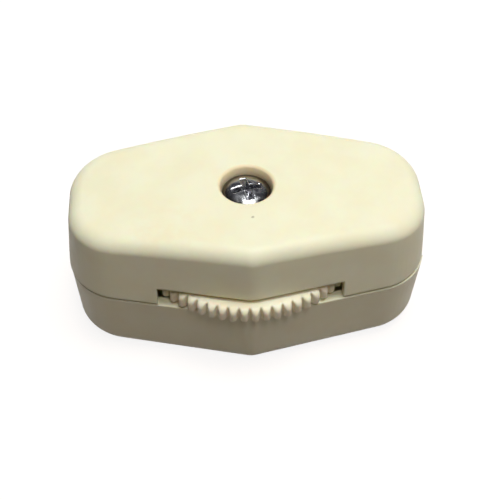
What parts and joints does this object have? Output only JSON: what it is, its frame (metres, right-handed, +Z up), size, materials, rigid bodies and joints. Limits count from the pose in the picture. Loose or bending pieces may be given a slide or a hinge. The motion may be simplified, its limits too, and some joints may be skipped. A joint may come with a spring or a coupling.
{
  "type": "inline cord switch",
  "caption": "Rotary inline cord switch: ivory two-part housing with pointed sides and rounded ends, a serrated thumb wheel in side slots and a sunk centre screw.",
  "frame": {"origin": "centre of the underside, on the surface that the switch lies on", "axes": "+X along the cord and the housing's length, +Y across to the back vertex, +Z up through the cover and along the wheel's axis"},
  "size_m": [0.0476, 0.0302, 0.0208],
  "materials": {
    "ivory_housing": "moulded satin, aged ivory",
    "ivory_wheel": "moulded satin, aged ivory",
    "spring_brass": "rolled strip, slightly dull",
    "plated_screw": "bright nickel plate",
    "plated_nut": "zinc plate, satin"
  },
  "bodies": {
    "housing": {"base": "ivory_housing", "cover": "ivory_housing", "left_contact": "spring_brass", "right_contact": "spring_brass", "centre_screw": "plated_screw", "hex_nut": "plated_nut"},
    "wheel": {"thumb_wheel": "ivory_wheel", "contact_bridge": "spring_brass"}
  },
  "joints": [
    {"name": "wheel_spin", "type": "hinge", "parent": "housing", "child": "wheel", "pos_m": [0, 0, 0.01165], "axis": [0, 0, 1], "continuous": true, "deforming": ["left_contact", "right_contact"]}
  ]
}
